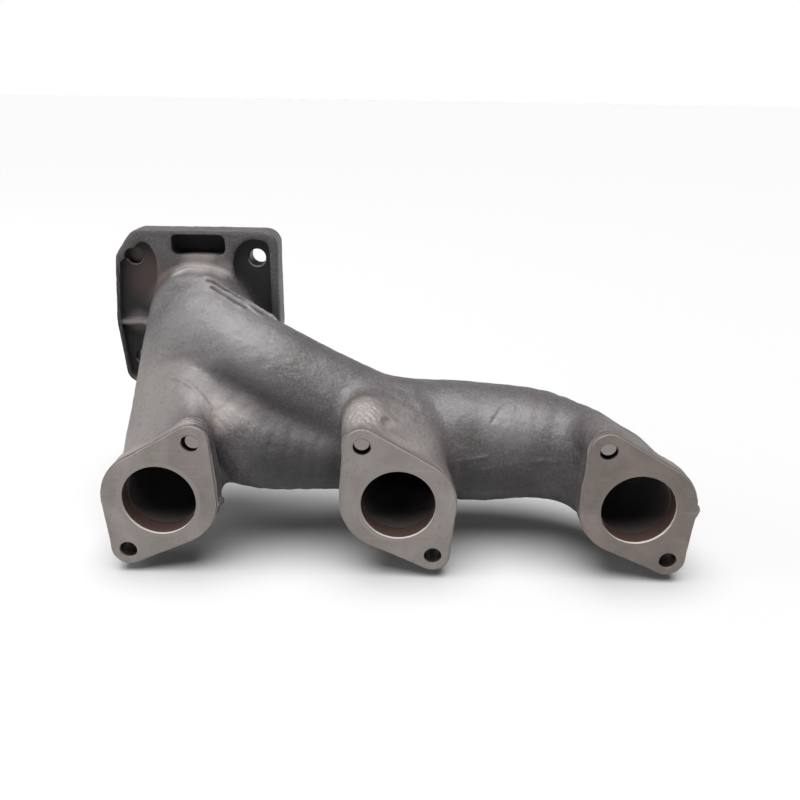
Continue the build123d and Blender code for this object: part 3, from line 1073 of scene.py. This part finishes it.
def cast_iron():
    shader = Shader("cast_iron")
    wide = shader.spread(shader.noise(28.0, 3.0), 0.35, 0.65)
    patches = shader.spread(shader.noise(75.0, 4.0, 0.6), 0.38, 0.66)
    grain = shader.spread(shader.noise(850.0, 3.0, 0.7), 0.46, 0.66)
    pits = shader.spread(shader.noise(480.0, 3.0, 0.7), 0.52, 0.70)
    dark, dust_and_painted_light, soot = shader.mask("dark"), shader.mask("dust_and_painted_light"), shader.mask("soot")
    color = shader.blend(wide, rgb(0.040, 0.033, 0.031), rgb(0.042, 0.039, 0.041))
    color = shader.blend(patches, color, rgb(0.052, 0.046, 0.050))
    # Painted highlight.
    color = shader.blend(shader.mask("painted_highlight"), color, rgb(0.100, 0.094, 0.098))
    # Lighter patches, partly dust and partly painted light.
    color = shader.blend(dust_and_painted_light, color, rgb(0.120, 0.105, 0.098))
    color = shader.blend(shader.faded(pits, 0.45), color, rgb(0.018, 0.016, 0.016))
    color = shader.blend(shader.faded(grain, 0.45), color, rgb(0.13, 0.122, 0.127))
    # Painted shade, near black.
    color = shader.blend(dark, color, rgb(0.008, 0.007, 0.007))
    color = shader.blend(shader.mask("rust"), color, rgb(0.052, 0.034, 0.030))
    # Ground metal, and painted highlights on edges, folds and the neck.
    color = shader.blend(shader.mask("ground"), color, rgb(0.175, 0.153, 0.144))
    color = shader.blend(soot, color, rgb(0.040, 0.036, 0.040))
    # Painted light near the ports.
    color = shader.blend(shader.mask("mouth"), color, rgb(0.095, 0.083, 0.080))
    fine = shader.noise(900.0, 4.0, 0.7)
    coarse = shader.noise(300.0, 3.0, 0.6)
    shader.bump(shader.sum(fine, coarse, 1.2), 0.0003, 0.8)
    rough = shader.spread(patches, 0, 1, 0.54, 0.46)
    rough = shader.spread(dark, 0, 1, rough, 0.85)
    return shader.finish(color, rough, 0.0, 0.6)


def machined_iron():
    shader = Shader("machined_iron")
    patches = shader.noise(90.0, 4.0, 0.6)
    color = shader.blend(patches, rgb(0.165, 0.146, 0.136), rgb(0.235, 0.212, 0.202))
    shader.bump(shader.noise(420.0, 3.0, 0.6, stretch=(1.0, 1.0, 0.15)), 0.0001, 0.5)
    return shader.finish(color, 0.45, 0.0, 0.5)


def bore_wall():
    shader = Shader("bore_wall")
    patches = shader.noise(120.0, 3.0, 0.6)
    color = shader.blend(patches, rgb(0.050, 0.030, 0.026), rgb(0.085, 0.052, 0.044))
    shader.bump(shader.noise(400.0, 3.0, 0.6, stretch=(1.0, 0.2, 1.0)), 0.0001, 0.5)
    return shader.finish(color, 0.4, 0.0, 0.5)


def hole_wall():
    shader = Shader("hole_wall")
    patches = shader.noise(160.0, 3.0, 0.6)
    color = shader.blend(patches, rgb(0.022, 0.012, 0.010), rgb(0.050, 0.026, 0.021))
    shader.bump(shader.noise(500.0, 3.0, 0.6), 0.00015, 0.6)
    return shader.finish(color, 0.42, 0.0, 0.5)


def gasket_face(name, dark, light):
    """The flat sheets: blotchy grey metal with scratches and small dark specks."""
    shader = Shader(name)
    patches = shader.spread(shader.noise(55.0, 4.0, 0.6), 0.35, 0.65)
    smudges = shader.spread(shader.noise(26.0, 2.0, 0.5), 0.52, 0.66)
    specks = shader.spread(shader.noise(420.0, 3.0, 0.6), 0.56, 0.72)
    scratches = shader.spread(shader.noise(150.0, 3.0, 0.6, stretch=(0.25, 1.0, 3.0)), 0.60, 0.70)
    color = shader.blend(patches, dark, light)
    color = shader.blend(shader.faded(smudges, 0.45), color, rgb(0.13, 0.105, 0.095))
    color = shader.blend(shader.faded(specks, 0.6), color, rgb(0.13, 0.11, 0.10))
    color = shader.blend(shader.faded(scratches, 0.2), color, rgb(0.33, 0.31, 0.30))
    shader.bump(shader.noise(300.0, 4.0, 0.7), 0.00012, 0.6)
    return shader.finish(color, 0.6, 0.0, 0.4)


def gasket_core():
    shader = Shader("gasket_core")
    bands = shader.noise(200.0, 3.0, 0.6)
    color = shader.blend(bands, rgb(0.12, 0.108, 0.102), rgb(0.22, 0.20, 0.19))
    return shader.finish(color, 0.7, 0.0, 0.3)


def gasket_eyelet(name, dark, light):
    """The ring round an opening: the tone of the sheets in front, and on the inside a bright tone painted
    as the highlight along its rim.
    """
    shader = Shader(name)
    patches = shader.noise(55.0, 4.0, 0.6)
    # The inner wall is painted bright as a highlight along the rim.
    color = shader.blend(shader.facing_out(), rgb(0.55, 0.52, 0.48), shader.blend(patches, dark, light))
    shader.bump(shader.noise(500.0, 3.0, 0.6), 0.00006, 0.5)
    return shader.finish(color, 0.5, 0.1, 0.4)


def assign(thing, material):
    thing.data.materials.clear()
    thing.data.materials.append(material)


def paint_gaskets(nodes):
    core = gasket_core()
    for place, (dark, light) in GASKET_TONES.items():
        face = gasket_face(place + "_facing", rgb(*dark), rgb(*light))
        ring = gasket_eyelet(place + "_ring", rgb(*dark), rgb(*light))
        finishes = {"front_sheet": face, "rear_sheet": face, "core_sheet": core, "eyelet": ring}
        for ending, material in finishes.items():
            assign(nodes[place + "_gasket_" + ending], material)


# ---- stage -----------------------------------------------------------------------------------


def add_camera():
    data = bpy.data.cameras.new("camera")
    data.lens = CAMERA_LENS
    data.sensor_width = SENSOR_WIDTH
    data.clip_start = 0.01
    camera = bpy.data.objects.new("camera", data)
    camera.location = Vector(CAMERA_PLACE) * MM
    camera.rotation_euler = [math.radians(angle) for angle in CAMERA_TURN]
    bpy.context.scene.collection.objects.link(camera)
    bpy.context.scene.camera = camera


def stage_light(data, direction):
    light = bpy.data.objects.new(data.name, data)
    light.rotation_euler = Vector(direction).to_track_quat("-Z", "Y").to_euler()
    bpy.context.scene.collection.objects.link(light)
    return light


def add_area_light(name, place, target, size, watts):
    data = bpy.data.lights.new(name, "AREA")
    data.shape = "DISK"
    data.size = size
    data.energy = watts
    light = stage_light(data, Vector(target) - Vector(place))
    light.location = place


def add_sun(name, direction, softness, strength):
    """An even light from far away; softness is the angle it spreads over, in degrees."""
    data = bpy.data.lights.new(name, "SUN")
    data.energy = strength
    data.angle = math.radians(softness)
    stage_light(data, direction)


def add_floor():
    corners = [(x * FLOOR_REACH, y * FLOOR_REACH, FLOOR_Z) for x, y in ((-1, -1), (1, -1), (1, 1), (-1, 1))]
    floor = mesh_object("floor", corners, [(0, 1, 2, 3)])
    shader = Shader("floor")
    shader.finish(rgb(FLOOR_TONE, FLOOR_TONE, FLOOR_TONE), 0.95, 0.0, 0.0)
    assign(floor, shader.material)


def add_world():
    world = bpy.data.worlds.new("studio")
    world.use_nodes = True
    nodes, links = world.node_tree.nodes, world.node_tree.links
    direction = nodes.new("ShaderNodeTexCoord").outputs["Generated"]
    split = nodes.new("ShaderNodeSeparateXYZ")
    links.new(direction, split.inputs[0])
    band = nodes.new("ShaderNodeMapRange")
    band.inputs["From Min"].default_value = HORIZON_BAND[0]
    band.inputs["From Max"].default_value = HORIZON_BAND[1]
    band.inputs["To Min"].default_value = 1.0
    band.inputs["To Max"].default_value = SKY_LEVEL
    links.new(split.outputs["Z"], band.inputs["Value"])
    links.new(band.outputs["Result"], nodes["Background"].inputs["Strength"])
    nodes["Background"].inputs["Color"].default_value = (1.0, 1.0, 1.0, 1.0)
    bpy.context.scene.world = world
    bpy.context.scene.view_settings.view_transform = "Standard"


# ---- the scene -------------------------------------------------------------------------------

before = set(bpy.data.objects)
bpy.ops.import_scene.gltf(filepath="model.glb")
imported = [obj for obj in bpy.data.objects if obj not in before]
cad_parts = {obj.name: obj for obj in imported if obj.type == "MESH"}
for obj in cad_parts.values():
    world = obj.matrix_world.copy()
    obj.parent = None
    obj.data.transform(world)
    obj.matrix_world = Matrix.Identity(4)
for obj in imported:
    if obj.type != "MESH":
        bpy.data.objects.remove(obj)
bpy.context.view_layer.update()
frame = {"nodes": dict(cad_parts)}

casting_skin = make_casting()
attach(casting_skin, "root")
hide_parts("manifold_casting")
paint_gaskets(frame["nodes"])

add_camera()
add_world()
add_floor()
add_sun("overhead", (0.05, 0.12, -1.0), 60.0, 6.6)
add_area_light("left", (-1.5, -0.2, 0.62), (-0.05, 0.03, 0.03), 1.1, 9.0)
